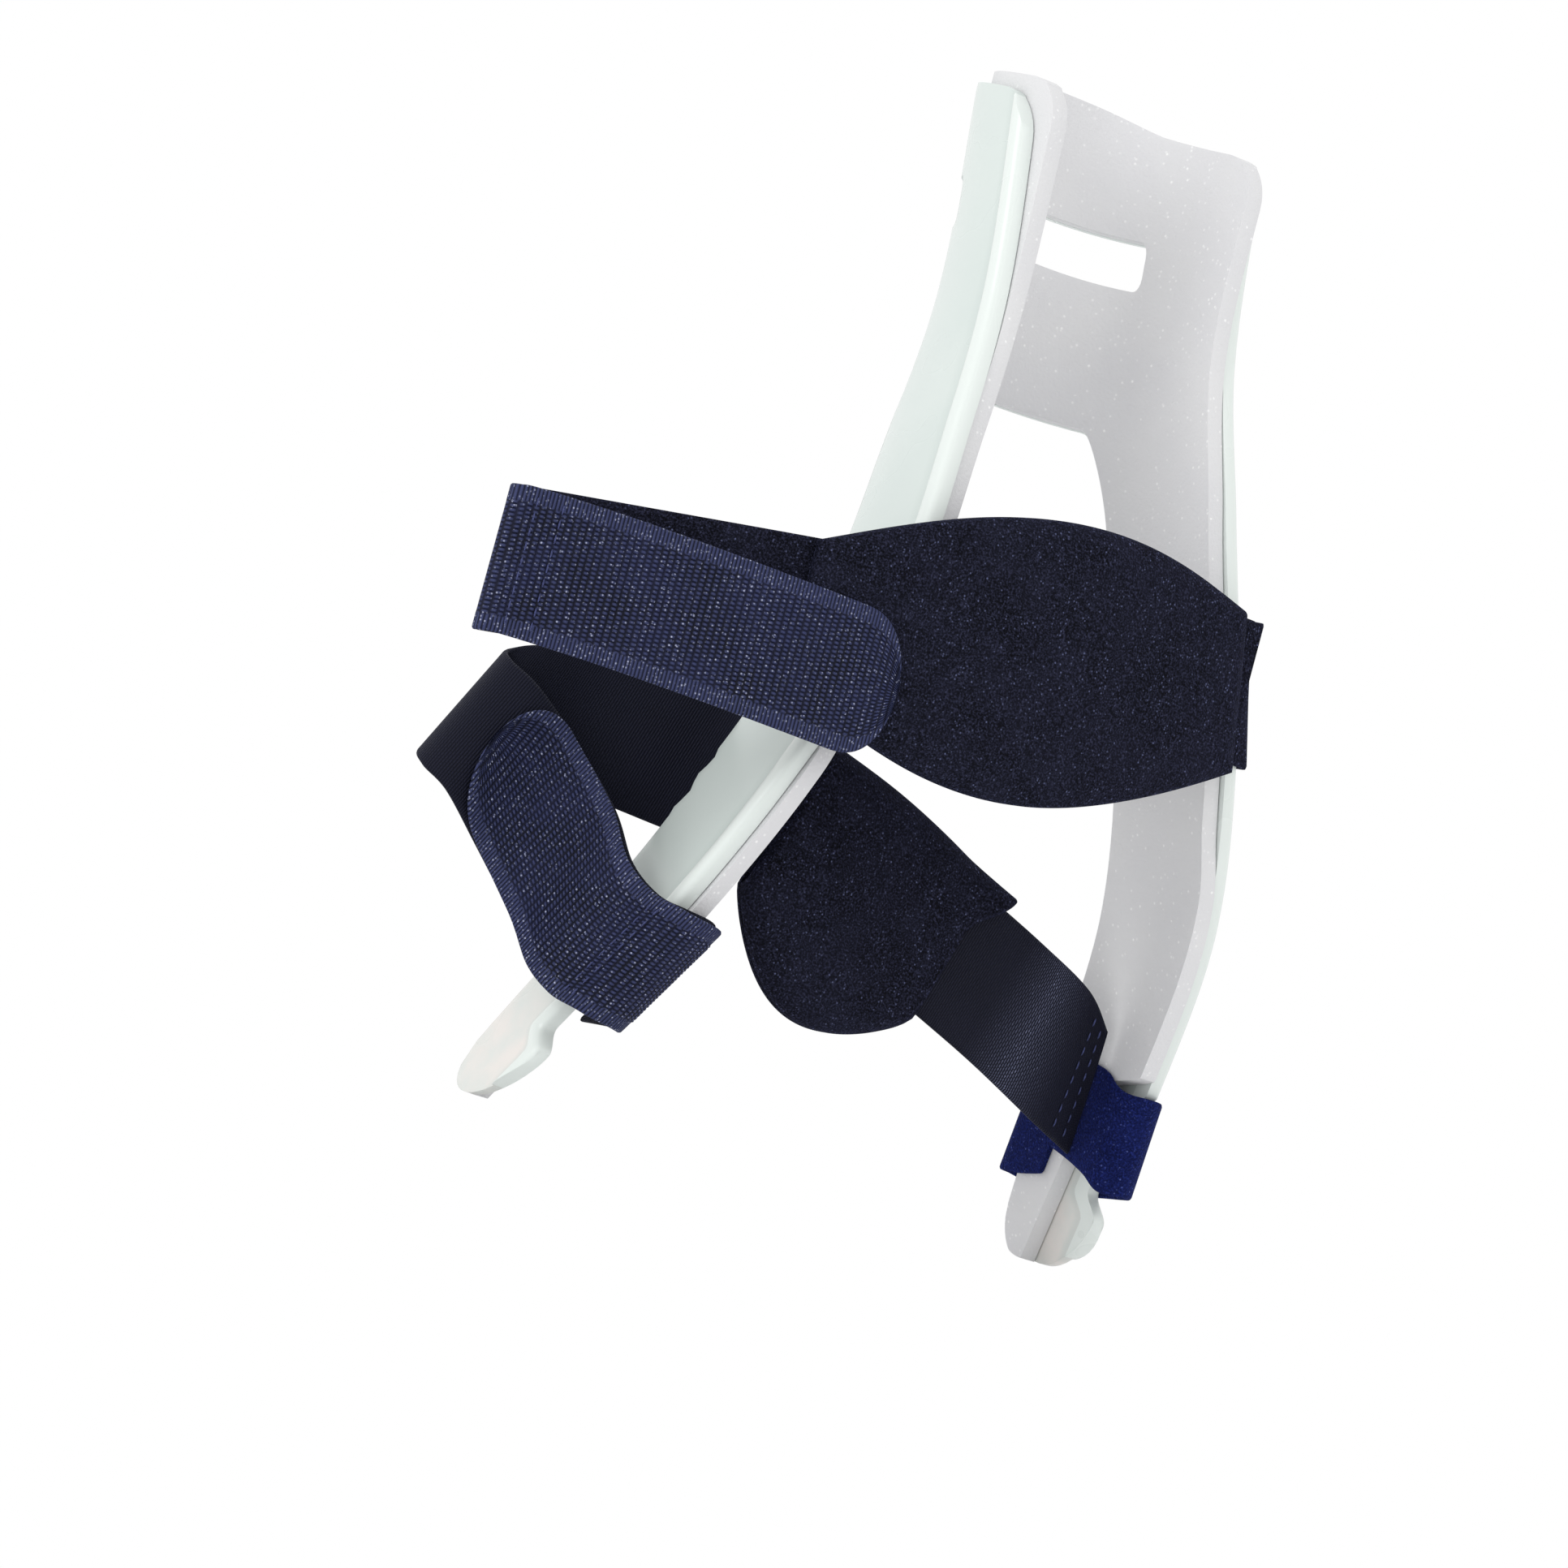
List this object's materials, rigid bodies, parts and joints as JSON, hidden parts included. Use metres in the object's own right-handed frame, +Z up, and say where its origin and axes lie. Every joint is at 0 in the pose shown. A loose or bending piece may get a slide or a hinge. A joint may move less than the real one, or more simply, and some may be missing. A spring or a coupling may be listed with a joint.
{
  "type": "ankle foot orthosis",
  "caption": "Open-backed moulded ankle foot orthosis with foam liner, padded heel strap, elastic foot strap and hook tabs.",
  "frame": {"origin": "middle of the padded shin seat, on the liner's inner face at the front of the shin plate", "axes": "+Z up the shin, +Y from the shin plate towards the open back of the leg, +X to the outer side, where the straps close"},
  "size_m": [0.2663, 0.1004, 0.302],
  "materials": {
    "frame_plastic": "smooth moulded gloss",
    "liner_foam": "closed-cell foam with a fine brushed face",
    "loop_webbing": "brushed loop cloth",
    "velour": "velour",
    "pad_foam": "soft foam",
    "hook_tape": "woven hook tape",
    "anchor_webbing": "brushed loop cloth",
    "elastic": "ribbed elastic webbing",
    "thread": "polyester thread"
  },
  "bodies": {
    "frame": {"frame_shell": "frame_plastic", "foam_liner": "liner_foam", "heel_strap_loop": "loop_webbing", "heel_loop_stitching": "thread", "foot_strap_anchor": "anchor_webbing", "foot_anchor_stitching": "thread", "foot_strap": "elastic"},
    "heel_strap": {"heel_strap": "loop_webbing", "heel_pad_cover": "velour", "heel_pad_core": "pad_foam", "heel_pad_lining": "velour"},
    "heel_tab": {"heel_hook_tab": "hook_tape", "heel_tab_stitching": "thread"},
    "foot_sleeve": {"foot_sleeve_cover": "velour", "foot_sleeve_core": "pad_foam", "foot_sleeve_lining": "velour"},
    "foot_tab": {"foot_hook_tab": "hook_tape", "foot_tab_stitching": "thread"}
  },
  "joints": [
    {"name": "heel_strap_swing", "type": "hinge", "parent": "frame", "child": "heel_strap", "pos_m": [-0.055, 0.0638, -0.085], "axis": [0, 0, 1], "range_deg": [0, 55]},
    {"name": "heel_tab_peel", "type": "hinge", "parent": "heel_strap", "child": "heel_tab", "pos_m": [0.1652, 0.0394, -0.104], "axis": [0, 0, -1], "range_deg": [0, 120]},
    {"name": "sleeve_slide", "type": "slide", "parent": "frame", "child": "foot_sleeve", "axis": [0.9411, -0.011, 0.338], "range_m": [-0.008, 0]},
    {"name": "foot_tab_peel", "type": "hinge", "parent": "frame", "child": "foot_tab", "pos_m": [0.0886, 0.042, -0.1904], "axis": [-0.2563, 0.5036, 0.825], "range_deg": [0, 110]}
  ]
}
